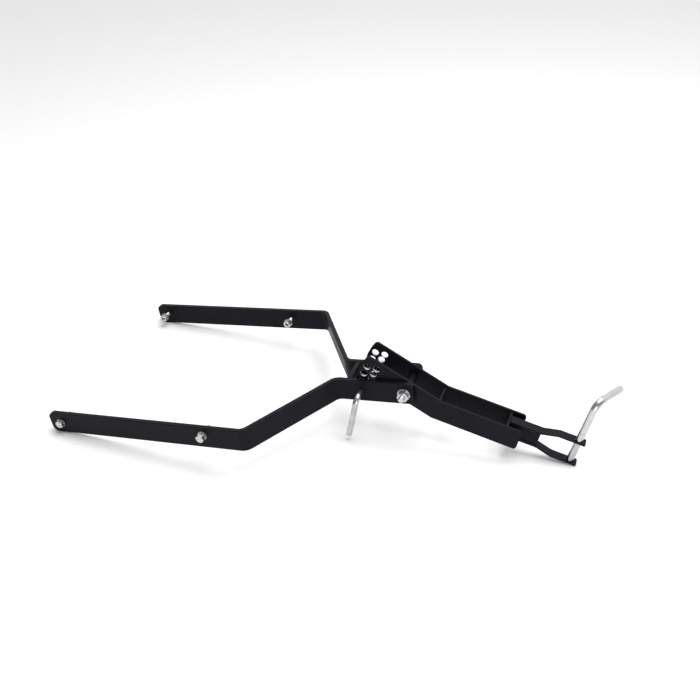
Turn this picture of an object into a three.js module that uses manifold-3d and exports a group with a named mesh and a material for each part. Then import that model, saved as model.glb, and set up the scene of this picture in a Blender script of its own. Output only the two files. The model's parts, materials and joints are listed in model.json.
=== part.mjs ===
// Adjustable two-arm stand frame: two cranked flat-bar arms, a hinged beam with a hole sector
// and a lock pin, and a strap fork with a hitch pin. Millimetres, +Z up, +X towards the fork.
import * as THREE from 'three';
import { mergeVertices } from 'three/addons/utils/BufferGeometryUtils.js';
import Module from 'manifold-3d';

// ---------- driving dimensions ----------
const GAP = 0.3;                 // clearance between neighbouring pieces

const BAR_HEIGHT = 40;           // flat bar of the arms
const BAR_THICKNESS = 8;
const ARM_OUTER_Y = 187;         // centre line of an arm's long outer stretch
const ARM_INNER_Y = 28.3;        // centre line of the stretch beside the beam
const ARM_END_X = -603;          // free end of the arms, measured from the pivot
const ARM_BEND_OUTER_X = -220.8;
const ARM_BEND_INNER_X = -120.3;
const ARM_PIVOT_END_X = 16;
const ARM_BEND_RADIUS = 16;
const ARM_END_ROUNDING = 12;
const ARM_PIVOT_ROUNDING = 8;

const YOKE_X = -96.5;            // centre of the cross-member plate
const YOKE_THICKNESS = 8;

const BEAM_WIDTH = 48;           // over the two side plates
const PLATE_THICKNESS = 4;
const HEAD_SLOPE = 35.6;         // degrees that the head falls below the arms
const TAIL_SLOPE = 20.5;         // degrees that the tail falls below the arms
const HEAD_TOP = 21;             // edges of the head, measured from the pivot
const HEAD_BOTTOM = -19;
const TAIL_TOP = 5;              // edges of the tail, measured from the pivot
const TAIL_BOTTOM = -34;
const TAIL_END = 199.5;
const TAIL_CORNER = 6;
const SECTOR_RADIUS = 85.5;      // rounded edge of the sector
const SECTOR_CORNER = 8;
const SECTOR_FOOT_ANGLE = -13;   // lower end of the sector's edge, from the arms' line
const HOLE_STEP = 12;            // degrees between holes of one row
const HOLES_PER_ROW = 4;
const OUTER_ROW = { radius: 75, firstAngle: 0 };
const INNER_ROW = { radius: 60, firstAngle: 6 };
const SECTOR_HOLE_D = 11.5;
const SLEEVE_OD = 16;
const BULKHEAD_X = { front: 56, rear: 172.5 };
const BULKHEAD_THICKNESS = 4;
const BULKHEAD_DROP = 2;         // edges of a bulkhead lie below the plates' edges

const STRAP_WIDTH = 16.5;
const STRAP_THICKNESS = 3;
const FORK_AXIS_UP = -11.4;      // middle of the fork, measured from the pivot
const FORK_ROOT_HALF = 15;       // strap centre line at the root
const FORK_TIP_HALF = 22.5;      // strap centre line at the tip
const FORK_FLARE_START = 230;
const FORK_FLARE_END = 256;
const FORK_TIP = 299.5;
const FORK_BEND_RADIUS = 12;
const BLOCK_WIDTH = 13;
const BLOCK_END = 229;

const HITCH_PIN = { diameter: 12.5, along: 288, bendUp: 93, below: 1, handle: 67.5, radius: 16, turn: 61.8 };
const STRAP_HOLE_D = 13.1;
const LOCK_PIN = { diameter: 10, outside: 25, handle: 80, radius: 12, lean: 18.8 };
const LOCK_HOLE_D = 10.8;

const PIVOT = { diameter: 10, hole: 10.8, acrossFlats: 17, head: 6.4, nut: 8.4, washer: 22,
  washerThickness: 2, thread: 19 };
const ARM_BOLT = { diameter: 8, hole: 9, acrossFlats: 13, head: 5.3, nut: 6.5, washer: 16,
  washerThickness: 1.6, length: 30 };
// Three of the arm bolts stand loose, with room to clamp something: outside the right arm under the
// head, and inside the left arm under the nuts. The right arm's washers lie against its outside,
// and the left arm's lie under the nuts.
const ARM_BOLTS = [
  { side: 'right', place: 'end', sign: -1, x: -580, z: 0.5, headRoom: 0, nutRoom: 0 },
  { side: 'right', place: 'middle', sign: -1, x: -294, z: 5, headRoom: 4.1, nutRoom: 0 },
  { side: 'left', place: 'end', sign: 1, x: -581, z: 1, headRoom: 0, nutRoom: 12 },
  { side: 'left', place: 'middle', sign: 1, x: -298, z: 1, headRoom: 0, nutRoom: 12 },
];

const ROUND_SIDES = 28;
const BEND_STEPS = 6;
const ROD_STEPS = 36;              // cuts along a bent pin
const ROD_SEGMENTS = 9;            // half of the sides of a bent pin's section

// ---------- derived dimensions ----------
const deg = THREE.MathUtils.degToRad;
const armInnerFace = ARM_INNER_Y - BAR_THICKNESS / 2;
const armOuterFace = ARM_INNER_Y + BAR_THICKNESS / 2;
const plateOuterY = BEAM_WIDTH / 2;
const plateInnerY = plateOuterY - PLATE_THICKNESS;

// The stand rests on the arms' rounded lower corners and on the tip of the lower strap.
// In the arms' frame the corner centre and the strap tip are two points on the floor line.
const strapTip = tailPoint(FORK_TIP, FORK_AXIS_UP - FORK_TIP_HALF - STRAP_THICKNESS / 2);
const cornerCentre = new THREE.Vector2(ARM_END_X + ARM_END_ROUNDING, ARM_END_ROUNDING - BAR_HEIGHT / 2);
const footing = strapTip.clone().sub(cornerCentre);
const STAND_ANGLE = Math.acos(ARM_END_ROUNDING / footing.length()) - Math.atan2(footing.x, -footing.y);

function tailPoint(along, up) {
  const slope = deg(TAIL_SLOPE);
  return new THREE.Vector2(
    along * Math.cos(slope) + up * Math.sin(slope),
    up * Math.cos(slope) - along * Math.sin(slope),
  );
}

// ---------- materials ----------
const blackPaint = new THREE.MeshStandardMaterial({ color: 0x1c1c20, roughness: 0.45, metalness: 0.1 });
const zinc = new THREE.MeshStandardMaterial({ color: 0xc9ccd0, roughness: 0.32, metalness: 0.95 });
const brightSteel = new THREE.MeshStandardMaterial({ color: 0xd8dadc, roughness: 0.22, metalness: 1.0 });

// ---------- solids ----------
const wasm = await Module();
wasm.setup();

function toSolid(geometry) {
  const bare = geometry.clone();
  bare.deleteAttribute('normal');
  bare.deleteAttribute('uv');
  const merged = mergeVertices(bare, 1e-4);
  const source = new wasm.Mesh({
    numProp: 3,
    vertProperties: new Float32Array(merged.attributes.position.array),
    triVerts: new Uint32Array(merged.index.array),
  });
  return new wasm.Manifold(source);
}

function toGeometry(solid) {
  const source = solid.getMesh();
  const geometry = new THREE.BufferGeometry();
  geometry.setAttribute('position', new THREE.BufferAttribute(new Float32Array(source.vertProperties), 3));
  geometry.setIndex(new THREE.BufferAttribute(new Uint32Array(source.triVerts), 1));
  geometry.computeVertexNormals();
  return geometry;
}

function addPiece(group, name, solid, material) {
  const mesh = new THREE.Mesh(toGeometry(solid), material);
  mesh.name = name;
  group.add(mesh);
}

function roundRod(diameter, yFrom, yTo, x = 0, z = 0, sides = ROUND_SIDES) {
  const rod = new THREE.CylinderGeometry(diameter / 2, diameter / 2, Math.abs(yTo - yFrom), sides);
  rod.translate(x, (yFrom + yTo) / 2, z);
  return toSolid(rod);
}

function hexagon(acrossFlats, yFrom, yTo, x = 0, z = 0) {
  const acrossCorners = acrossFlats / Math.cos(Math.PI / 6);
  return roundRod(acrossCorners, yFrom, yTo, x, z, 6);
}

function box(sizeX, sizeY, sizeZ, x, y, z) {
  const block = new THREE.BoxGeometry(sizeX, sizeY, sizeZ);
  block.translate(x, y, z);
  return toSolid(block);
}

// A shape drawn in X and Z, given a thickness along Y.
function sideways(shape, yFrom, yTo) {
  const thickness = yTo - yFrom;
  const plate = new THREE.ExtrudeGeometry(shape, { depth: thickness, bevelEnabled: false, curveSegments: 8 });
  plate.rotateX(Math.PI / 2);
  plate.translate(0, yTo, 0);
  return toSolid(plate);
}

// A shape drawn in X and Y, given a height along Z.
function upright(shape, zFrom, zTo) {
  const bar = new THREE.ExtrudeGeometry(shape, { depth: zTo - zFrom, bevelEnabled: false });
  bar.translate(0, 0, zFrom);
  return toSolid(bar);
}

// ---------- outlines ----------
// A closed polygon whose corners are rounded: each corner is [point, radius].
function roundedOutline(corners) {
  const shape = new THREE.Shape();
  const count = corners.length;
  corners.forEach(([point, radius], index) => {
    const before = corners[(index + count - 1) % count][0];
    const after = corners[(index + 1) % count][0];
    const start = point.clone().add(before.clone().sub(point).setLength(radius));
    const end = point.clone().add(after.clone().sub(point).setLength(radius));
    if (index === 0) {
      shape.moveTo(start.x, start.y);
    } else {
      shape.lineTo(start.x, start.y);
    }
    if (radius > 0) {
      shape.quadraticCurveTo(point.x, point.y, end.x, end.y);
    }
  });
  shape.closePath();
  return shape;
}

// Points and directions along a centre line of straight stretches joined by round bends.
function bentPath(points, radius) {
  const path = [{ point: points[0], along: points[1].clone().sub(points[0]).normalize() }];
  for (let i = 1; i < points.length - 1; i += 1) {
    const into = points[i].clone().sub(points[i - 1]).normalize();
    const out = points[i + 1].clone().sub(points[i]).normalize();
    const turn = Math.atan2(into.cross(out), into.dot(out));
    const start = points[i].clone().addScaledVector(into, -radius * Math.tan(Math.abs(turn) / 2));
    const centre = start.clone().addScaledVector(leftOf(into), Math.sign(turn) * radius);
    for (let step = 0; step <= BEND_STEPS; step += 1) {
      const angle = (turn * step) / BEND_STEPS;
      path.push({
        point: start.clone().rotateAround(centre, angle),
        along: into.clone().rotateAround(new THREE.Vector2(), angle),
      });
    }
  }
  const last = points.length - 1;
  path.push({ point: points[last], along: points[last].clone().sub(points[last - 1]).normalize() });
  return path;
}

function leftOf(direction) {
  return new THREE.Vector2(-direction.y, direction.x);
}

function bentStrip(points, radius, width) {
  const path = bentPath(points, radius);
  const side = (sign) => path.map(({ point, along }) => (
    point.clone().addScaledVector(leftOf(along), (sign * width) / 2)
  ));
  return new THREE.Shape([...side(1), ...side(-1).reverse()]);
}

// ---------- the two arms and the cross-member ----------
function armSolid(sign) {
  const centreLine = [
    new THREE.Vector2(ARM_END_X, sign * ARM_OUTER_Y),
    new THREE.Vector2(ARM_BEND_OUTER_X, sign * ARM_OUTER_Y),
    new THREE.Vector2(ARM_BEND_INNER_X, sign * ARM_INNER_Y),
    new THREE.Vector2(ARM_PIVOT_END_X, sign * ARM_INNER_Y),
  ];
  const half = BAR_HEIGHT / 2;
  const bar = upright(bentStrip(centreLine, ARM_BEND_RADIUS, BAR_THICKNESS), -half, half);
  const sideView = roundedOutline([
    [new THREE.Vector2(ARM_END_X, -half), ARM_END_ROUNDING],
    [new THREE.Vector2(ARM_PIVOT_END_X, -half), ARM_PIVOT_ROUNDING],
    [new THREE.Vector2(ARM_PIVOT_END_X, half), ARM_PIVOT_ROUNDING],
    [new THREE.Vector2(ARM_END_X, half), ARM_END_ROUNDING],
  ]);
  const reach = ARM_OUTER_Y + BAR_THICKNESS;
  let arm = bar.intersect(sideways(sideView, -reach, reach));
  const holes = [
    { diameter: PIVOT.hole, x: 0, z: 0 },
    { diameter: LOCK_HOLE_D, x: -OUTER_ROW.radius, z: 0 },
  ];
  for (const bolt of ARM_BOLTS.filter((each) => each.sign === sign)) {
    holes.push({ diameter: ARM_BOLT.hole, x: bolt.x, z: bolt.z });
  }
  for (const { diameter, x, z } of holes) {
    arm = arm.subtract(roundRod(diameter, ...ordered(0, sign * reach), x, z));
  }
  return arm;
}

function yokeSolid() {
  const width = 2 * (armInnerFace - GAP);
  return box(YOKE_THICKNESS, width, BAR_HEIGHT, YOKE_X, 0, 0);
}

// ---------- bolts, nuts and washers ----------
function ordered(first, second) {
  return [Math.min(first, second), Math.max(first, second)];
}

function ringSolid(outside, bore, yFrom, yTo, x, z) {
  const [low, high] = ordered(yFrom, yTo);
  return outside.subtract(roundRod(bore, low - 1, high + 1, x, z));
}

function washerSolid(size, yFrom, yTo, x = 0, z = 0) {
  const disc = roundRod(size.washer, ...ordered(yFrom, yTo), x, z);
  return ringSolid(disc, size.diameter + 2 * GAP, yFrom, yTo, x, z);
}

function nutSolid(size, yFrom, yTo, x = 0, z = 0) {
  const blank = hexagon(size.acrossFlats, ...ordered(yFrom, yTo), x, z);
  return ringSolid(blank, size.diameter + 2 * GAP, yFrom, yTo, x, z);
}

// The head starts at headFrom and lies towards sign; the shank runs the other way to threadEnd.
function boltSolid(size, sign, headFrom, threadEnd, x = 0, z = 0) {
  const head = hexagon(size.acrossFlats, ...ordered(headFrom, headFrom + sign * size.head), x, z);
  const insideHead = headFrom + (sign * size.head) / 2;
  return head.add(roundRod(size.diameter, ...ordered(insideHead, threadEnd), x, z));
}

function addArmFasteners(group, { side, place, sign, x, z, headRoom, nutRoom }) {
  const outerFace = ARM_OUTER_Y + BAR_THICKNESS / 2;
  const innerFace = ARM_OUTER_Y - BAR_THICKNESS / 2;
  const washerSpace = ARM_BOLT.washerThickness + GAP;
  const washerOutside = nutRoom === 0;
  const seat = outerFace + headRoom + GAP + (washerOutside ? washerSpace : 0);
  const nutFrom = innerFace - nutRoom - GAP - (washerOutside ? 0 : washerSpace);
  const washerFrom = washerOutside ? outerFace + GAP : innerFace - nutRoom;
  const washerTo = washerFrom + (washerOutside ? 1 : -1) * ARM_BOLT.washerThickness;
  const bolt = boltSolid(ARM_BOLT, sign, sign * seat, sign * (seat - ARM_BOLT.length), x, z);
  addPiece(group, `${side}_${place}_bolt`, bolt, zinc);
  const washer = washerSolid(ARM_BOLT, sign * washerFrom, sign * washerTo, x, z);
  addPiece(group, `${side}_${place}_washer`, washer, zinc);
  const nut = nutSolid(ARM_BOLT, sign * nutFrom, sign * (nutFrom - ARM_BOLT.nut), x, z);
  addPiece(group, `${side}_${place}_nut`, nut, zinc);
}

function addPivotFasteners(group) {
  const washerFrom = armOuterFace + GAP;
  const washerTo = washerFrom + PIVOT.washerThickness;
  const seat = washerTo + GAP;
  addPiece(group, 'pivot_bolt', boltSolid(PIVOT, 1, seat, -(armOuterFace + PIVOT.thread)), zinc);
  addPiece(group, 'pivot_washer_left', washerSolid(PIVOT, washerFrom, washerTo), zinc);
  addPiece(group, 'pivot_washer_right', washerSolid(PIVOT, -washerFrom, -washerTo), zinc);
  addPiece(group, 'pivot_nut', nutSolid(PIVOT, -seat, -(seat + PIVOT.nut)), zinc);
}

// ---------- bent pins ----------
// A round rod from start to corner to end, with a round bend at the corner.
function bentRod(diameter, start, corner, end, radius) {
  const into = corner.clone().sub(start).normalize();
  const out = end.clone().sub(corner).normalize();
  const reach = radius * Math.tan(into.angleTo(out) / 2);
  const bendStart = corner.clone().addScaledVector(into, -reach);
  const bendEnd = corner.clone().addScaledVector(out, reach);
  const path = new THREE.CurvePath();
  path.add(new THREE.LineCurve3(start, bendStart));
  path.add(new THREE.QuadraticBezierCurve3(bendStart, corner, bendEnd));
  path.add(new THREE.LineCurve3(bendEnd, end));
  const section = new THREE.Shape();
  section.absarc(0, 0, diameter / 2, 0, 2 * Math.PI);
  const rod = new THREE.ExtrudeGeometry(section, { extrudePath: path, steps: ROD_STEPS, curveSegments: ROD_SEGMENTS });
  return toSolid(rod);
}

function hitchPinSolid() {
  const corner = new THREE.Vector3(HITCH_PIN.along, 0, HITCH_PIN.bendUp);
  const foot = FORK_AXIS_UP - FORK_TIP_HALF - STRAP_THICKNESS / 2 - HITCH_PIN.below;
  const start = new THREE.Vector3(HITCH_PIN.along, 0, foot);
  const turn = deg(HITCH_PIN.turn);
  const handle = new THREE.Vector3(Math.cos(turn), Math.sin(turn), 0).multiplyScalar(HITCH_PIN.handle);
  return bentRod(HITCH_PIN.diameter, start, corner, corner.clone().add(handle), HITCH_PIN.radius);
}

function lockPinSolid() {
  const x = -OUTER_ROW.radius;
  const start = new THREE.Vector3(x, -(armInnerFace + GAP), 0);
  const corner = new THREE.Vector3(x, -(armOuterFace + LOCK_PIN.outside), 0);
  const lean = deg(LOCK_PIN.lean);
  const handle = new THREE.Vector3(-Math.sin(lean), 0, -Math.cos(lean)).multiplyScalar(LOCK_PIN.handle);
  return bentRod(LOCK_PIN.diameter, start, corner, corner.clone().add(handle), LOCK_PIN.radius);
}

// ---------- the hinged beam, drawn along its tail ----------
// A point on a circle about the pivot, its angle measured from the arms' line.
function sectorPoint(radius, angleFromArms) {
  const angle = deg(angleFromArms - TAIL_SLOPE);
  return new THREE.Vector2(-radius * Math.cos(angle), radius * Math.sin(angle));
}

function sidePlateShape() {
  const bend = deg(HEAD_SLOPE - TAIL_SLOPE);
  const onHeadEdge = (edge, up) => new THREE.Vector2((edge - up * Math.cos(bend)) / Math.sin(bend), up);
  const topAngle = HEAD_SLOPE + THREE.MathUtils.radToDeg(Math.asin(HEAD_TOP / SECTOR_RADIUS));
  const shape = new THREE.Shape();
  const footStart = sectorPoint(SECTOR_RADIUS, SECTOR_FOOT_ANGLE);
  const tailCorners = [[TAIL_END, TAIL_BOTTOM, -1], [TAIL_END, TAIL_TOP, 1]];
  const throat = onHeadEdge(HEAD_BOTTOM, HEAD_BOTTOM / Math.cos(bend));
  shape.moveTo(footStart.x, footStart.y);
  shape.lineTo(throat.x, throat.y);
  shape.lineTo(onHeadEdge(HEAD_BOTTOM, TAIL_BOTTOM).x, TAIL_BOTTOM);
  for (const [end, edge, rising] of tailCorners) {
    const before = rising < 0 ? [end - TAIL_CORNER, edge] : [end, edge - TAIL_CORNER];
    const after = rising < 0 ? [end, edge + TAIL_CORNER] : [end - TAIL_CORNER, edge];
    shape.lineTo(...before);
    shape.quadraticCurveTo(end, edge, ...after);
  }
  shape.lineTo(onHeadEdge(HEAD_TOP, TAIL_TOP).x, TAIL_TOP);
  const cornerTurn = SECTOR_CORNER / SECTOR_RADIUS;
  const arcFrom = Math.PI - deg(topAngle - TAIL_SLOPE) + cornerTurn;
  const corner = sectorPoint(SECTOR_RADIUS, topAngle);
  const arcStart = new THREE.Vector2(Math.cos(arcFrom), Math.sin(arcFrom)).multiplyScalar(SECTOR_RADIUS);
  shape.lineTo(corner.x + SECTOR_CORNER * Math.cos(bend), corner.y - SECTOR_CORNER * Math.sin(bend));
  shape.quadraticCurveTo(corner.x, corner.y, arcStart.x, arcStart.y);
  const arcTo = Math.PI - deg(SECTOR_FOOT_ANGLE - TAIL_SLOPE);
  shape.absarc(0, 0, SECTOR_RADIUS, arcFrom, arcTo, false);
  return shape;
}

function sidePlateSolid(yFrom, yTo) {
  let plate = sideways(sidePlateShape(), yFrom, yTo);
  plate = plate.subtract(roundRod(PIVOT.hole, yFrom - 1, yTo + 1));
  for (const row of [OUTER_ROW, INNER_ROW]) {
    for (let i = 0; i < HOLES_PER_ROW; i += 1) {
      const centre = sectorPoint(row.radius, row.firstAngle + i * HOLE_STEP);
      plate = plate.subtract(roundRod(SECTOR_HOLE_D, yFrom - 1, yTo + 1, centre.x, centre.y));
    }
  }
  return plate;
}

function bulkheadSolid(x) {
  const height = TAIL_TOP - TAIL_BOTTOM - 2 * BULKHEAD_DROP;
  const middle = (TAIL_TOP + TAIL_BOTTOM) / 2;
  return box(BULKHEAD_THICKNESS, 2 * (plateInnerY - GAP), height, x + BULKHEAD_THICKNESS / 2, 0, middle);
}

const forkStart = BULKHEAD_X.rear + BULKHEAD_THICKNESS + GAP;

function strapSolid(sign) {
  const centreLine = [
    new THREE.Vector2(forkStart, FORK_AXIS_UP + sign * FORK_ROOT_HALF),
    new THREE.Vector2(FORK_FLARE_START, FORK_AXIS_UP + sign * FORK_ROOT_HALF),
    new THREE.Vector2(FORK_FLARE_END, FORK_AXIS_UP + sign * FORK_TIP_HALF),
    new THREE.Vector2(FORK_TIP, FORK_AXIS_UP + sign * FORK_TIP_HALF),
  ];
  const strip = bentStrip(centreLine, FORK_BEND_RADIUS, STRAP_THICKNESS);
  const strap = sideways(strip, -STRAP_WIDTH / 2, STRAP_WIDTH / 2);
  const drill = new THREE.CylinderGeometry(STRAP_HOLE_D / 2, STRAP_HOLE_D / 2, 2 * BAR_HEIGHT, ROUND_SIDES);
  drill.rotateX(Math.PI / 2);
  drill.translate(HITCH_PIN.along, 0, FORK_AXIS_UP);
  return strap.subtract(toSolid(drill));
}

function forkBlockSolid() {
  const height = 2 * (FORK_ROOT_HALF - STRAP_THICKNESS / 2 - GAP);
  const length = BLOCK_END - forkStart;
  return box(length, BLOCK_WIDTH, height, forkStart + length / 2, 0, FORK_AXIS_UP);
}

function pivotSleeveSolid() {
  const end = plateInnerY - GAP;
  return roundRod(SLEEVE_OD, -end, end).subtract(roundRod(PIVOT.hole, -end - 1, end + 1));
}

// ---------- assembly ----------
const frame = new THREE.Group();
frame.rotation.y = -STAND_ANGLE;
addPiece(frame, 'right_arm', armSolid(-1), blackPaint);
addPiece(frame, 'left_arm', armSolid(1), blackPaint);
addPiece(frame, 'yoke_plate', yokeSolid(), blackPaint);
ARM_BOLTS.forEach((bolt) => addArmFasteners(frame, bolt));
addPivotFasteners(frame);
addPiece(frame, 'lock_pin', lockPinSolid(), brightSteel);

const beam = new THREE.Group();
beam.rotation.y = deg(TAIL_SLOPE) - STAND_ANGLE;
addPiece(beam, 'right_side_plate', sidePlateSolid(-plateOuterY, -plateInnerY), blackPaint);
addPiece(beam, 'left_side_plate', sidePlateSolid(plateInnerY, plateOuterY), blackPaint);
addPiece(beam, 'pivot_sleeve', pivotSleeveSolid(), blackPaint);
addPiece(beam, 'front_bulkhead', bulkheadSolid(BULKHEAD_X.front), blackPaint);
addPiece(beam, 'rear_bulkhead', bulkheadSolid(BULKHEAD_X.rear), blackPaint);
addPiece(beam, 'fork_block', forkBlockSolid(), blackPaint);
addPiece(beam, 'upper_fork_strap', strapSolid(1), blackPaint);
addPiece(beam, 'lower_fork_strap', strapSolid(-1), blackPaint);
addPiece(beam, 'hitch_pin', hitchPinSolid(), brightSteel);

// The stand's origin is the middle of its footprint, on the floor.
const stand = new THREE.Group();
stand.add(frame, beam);
stand.updateMatrixWorld(true);
const extent = new THREE.Box3().setFromObject(stand, true);
const middle = extent.getCenter(new THREE.Vector3());
stand.position.set(-middle.x, -middle.y, -extent.min.z);

export default stand;
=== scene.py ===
"""Two-arm stand frame with a hinged beam and a hitch fork: its finished look, made round the CAD frame."""

import json
import math

import bmesh
import bpy
from bpy.props import FloatProperty, FloatVectorProperty, PointerProperty
from mathutils import Matrix, Vector


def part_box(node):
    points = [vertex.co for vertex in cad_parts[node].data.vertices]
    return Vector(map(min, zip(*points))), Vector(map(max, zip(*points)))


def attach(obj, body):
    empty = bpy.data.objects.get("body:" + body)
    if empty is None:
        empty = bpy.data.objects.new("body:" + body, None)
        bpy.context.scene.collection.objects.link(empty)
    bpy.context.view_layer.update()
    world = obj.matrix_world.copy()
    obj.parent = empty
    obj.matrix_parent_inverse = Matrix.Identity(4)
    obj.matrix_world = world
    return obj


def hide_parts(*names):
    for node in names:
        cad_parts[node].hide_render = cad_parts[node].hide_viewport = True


bl_info = {
    "name": "Two-Arm Stand Frame",
    "version": (1, 0, 0),
    "blender": (4, 5, 0),
    "location": "View3D > Sidebar > Stand Frame",
    "description": "Builds a powder-coated stand frame with its fasteners, pins and a plain studio",
    "category": "Add Mesh",
}

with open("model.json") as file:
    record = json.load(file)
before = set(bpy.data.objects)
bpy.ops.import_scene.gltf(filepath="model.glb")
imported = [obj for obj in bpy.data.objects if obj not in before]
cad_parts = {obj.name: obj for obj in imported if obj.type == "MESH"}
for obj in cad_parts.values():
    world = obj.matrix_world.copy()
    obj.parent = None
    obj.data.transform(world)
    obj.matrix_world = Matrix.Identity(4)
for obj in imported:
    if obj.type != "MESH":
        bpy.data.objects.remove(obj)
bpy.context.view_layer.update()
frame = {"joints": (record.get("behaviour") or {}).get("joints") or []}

MM = 0.001
JOINTS = {joint["name"]: joint for joint in frame["joints"]}
PIVOT = Vector(JOINTS["beam_pitch"]["pos_m"])
BEAM_UP = Vector(JOINTS["hitch_pin_slide"]["axis"])
BEAM_TILT = math.atan2(BEAM_UP.x, BEAM_UP.z)  # the beam's tail falls by this much below level
TAIL_SLOPE = math.radians(20.5)  # and by this much below the arms
HEAD_SLOPE = math.radians(35.6)
ARM_TILT = BEAM_TILT - TAIL_SLOPE

X, Y, Z = Vector((1, 0, 0)), Vector((0, 1, 0)), Vector((0, 0, 1))
RIGHT, LEFT = -1, 1  # sides of the stand, as signs of Y
SIDE_NAMES = {RIGHT: "right", LEFT: "left"}
TILTS = {"frame": ARM_TILT, "beam": BEAM_TILT}
CLAMPS = ("right_end", "right_middle", "left_end", "left_middle")

BEND_STEPS = 12  # facets round a bend
HOLE_SIDES = 56
ROD_SIDES = 48
THREAD_STEPS = 28  # facets round one turn of a thread
THREAD_DEPTH = 0.61  # of the pitch
CROWN = 0.475  # radius of the flat on a head or nut, as a share of the width across its flats
CLOSE = 1e-5  # points nearer than this are at the same place
THREAD_FLAT, THREAD_FLANK = 0.12, 0.38  # lengths along the bolt, as shares of the pitch
SEED = 2 * MM  # a small plane that is merged to one point, to draw from
COLLAR = 0.3 * MM  # thickness of the round face under a bolt's head
OVERLAP = 0.2 * MM  # how far solids that are joined reach into each other
STRAP_CORNER = 1.5 * MM  # rounding of the straps' free corners
STRAP_EDGE = 0.5 * MM
FILLER_EDGE = 1 * MM
CLAMP_HEAD_TURNS = (9, 21, 4, 26)  # degrees, in the order of CLAMPS
CLAMP_NUT_TURNS = (8, 24, 8, 24)
PIVOT_NUT_TURN = 17


# ---------- sizes and colours that a user may change ----------
def length(name, description, millimetres):
    default = millimetres * MM
    return FloatProperty(name=name, description=description, default=default, unit="LENGTH", precision=4)


def angle(name, description, degrees):
    return FloatProperty(name=name, description=description, default=math.radians(degrees), subtype="ANGLE")


def colour(name, description, default):
    return FloatVectorProperty(
        name=name, description=description, default=default, subtype="COLOR", size=3, min=0.0, max=1.0
    )


class StandArmSizes(bpy.types.PropertyGroup):
    bar_height: length("Bar height", "Height of the arms' flat bar", 40)
    bar_thickness: length("Bar thickness", "Thickness of the arms' flat bar", 8)
    outer_reach: length("Outer reach", "From the middle plane to an arm's long outer stretch", 187)
    inner_reach: length("Inner reach", "From the middle plane to an arm's stretch beside the beam", 28.3)
    free_end: length("Free end", "From the pivot back to the arms' free ends", 603)
    outer_bend: length("Outer bend", "From the pivot back to the outer bend", 220.8)
    inner_bend: length("Inner bend", "From the pivot back to the inner bend", 120.3)
    pivot_end: length("Pivot end", "From the pivot forward to the arms' short ends", 16)
    bend_radius: length("Bend radius", "Radius of the arms' bends at the bar's middle", 16)
    free_rounding: length("Free end rounding", "Corner radius at the free ends", 12)
    pivot_rounding: length("Pivot end rounding", "Corner radius at the short ends", 8)
    pivot_hole: length("Pivot hole", "Diameter of the hole for the pivot bolt", 10.8)
    lock_hole: length("Lock hole", "Diameter of the hole for the lock pin", 10.8)
    bolt_hole: length("Bolt hole", "Diameter of the clamp bolts' holes", 9)
    edge: length("Edge", "Rounding along the coated edges", 0.9)
    yoke_place: length("Cross-member place", "From the pivot back to the cross-member's middle", 96.5)
    yoke_thickness: length("Cross-member thickness", "Thickness of the cross-member plate", 8)


class StandBeamSizes(bpy.types.PropertyGroup):
    width: length("Beam width", "Width over the two side plates", 48)
    plate: length("Plate thickness", "Thickness of a side plate", 4)
    head_top: length("Head top", "From the pivot up to the head's top edge", 21)
    head_bottom: length("Head bottom", "From the pivot down to the head's lower edge", 19)
    tail_top: length("Tail top", "From the pivot up to the tail's top edge", 5)
    tail_bottom: length("Tail bottom", "From the pivot down to the tail's lower edge", 34)
    tail_end: length("Tail end", "From the pivot forward to the plates' end", 199.5)
    tail_corner: length("Tail corner", "Corner radius at the plates' end", 6)
    sector_radius: length("Sector radius", "Radius of the sector's rounded edge", 85.5)
    sector_corner: length("Sector corner", "Corner radius at the sector's top", 6.3)
    sector_foot: angle("Sector foot", "How far the sector reaches below the arms' line", 13)
    outer_row: length("Outer row", "Radius of the outer row of holes", 75)
    inner_row: length("Inner row", "Radius of the inner row of holes", 60)
    hole_step: angle("Hole step", "Angle between neighbouring holes of a row", 12)
    sector_hole: length("Sector hole", "Diameter of the sector's holes", 11.5)
    sleeve: length("Sleeve", "Outer diameter of the spacer tube on the pivot", 16)
    edge: length("Edge", "Rounding along the coated edges", 0.5)


class StandForkSizes(bpy.types.PropertyGroup):
    strap_width: length("Strap width", "Width of a fork strap", 16.5)
    strap_thickness: length("Strap thickness", "Thickness of a fork strap", 3)
    axis_drop: length("Fork middle", "From the pivot down to the fork's middle", 11.4)
    root_half: length("Root half gap", "From the fork's middle to a strap at the root", 15)
    tip_half: length("Tip half gap", "From the fork's middle to a strap at the tip", 22.5)
    root: length("Root", "From the pivot forward to the straps' start", 176.8)
    flare_start: length("Flare start", "Where the straps begin to spread", 230)
    flare_end: length("Flare end", "Where the straps run parallel again", 256)
    tip: length("Tip", "From the pivot forward to the fork's tip", 299.5)
    bend_radius: length("Bend radius", "Radius of the straps' bends", 12)
    pin_place: length("Pin place", "From the pivot forward to the hitch pin", 288)
    pin_hole: length("Pin hole", "Diameter of the straps' holes", 13.1)
    block_width: length("Block width", "Width of the filler bar between the straps", 13)
    block_end: length("Block end", "From the pivot forward to the filler bar's end", 229)


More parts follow.
